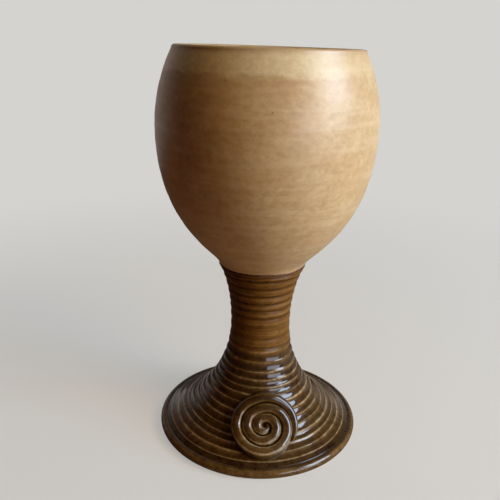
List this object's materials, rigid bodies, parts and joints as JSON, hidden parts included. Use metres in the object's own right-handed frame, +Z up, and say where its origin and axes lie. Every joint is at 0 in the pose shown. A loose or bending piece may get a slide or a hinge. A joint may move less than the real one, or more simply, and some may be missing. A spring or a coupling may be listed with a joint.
{
  "type": "ceramic chalice",
  "caption": "Round stoneware goblet bowl with a tan glaze, luted onto a ringed brown trumpet foot that carries an applied clay spiral.",
  "frame": {"origin": "on the table, in the middle of the foot's standing ring", "axes": "+Z up along the stem to the bowl's mouth, -Y towards the front, where the spiral is, +X to the right seen from the front"},
  "size_m": [0.092, 0.092, 0.17],
  "materials": {
    "tan_glaze": "satin sand-coloured glaze, finely mottled, paler at the rim",
    "brown_glaze": "glossy olive-brown glaze, lighter where it breaks over crests and darker in grooves",
    "fired_slip": "matte fired clay slip"
  },
  "bodies": {
    "root": {"bowl": "tan_glaze", "joint_slip": "fired_slip", "stem_foot": "brown_glaze", "spiral_slip": "fired_slip", "spiral_coil": "brown_glaze"}
  },
  "joints": []
}
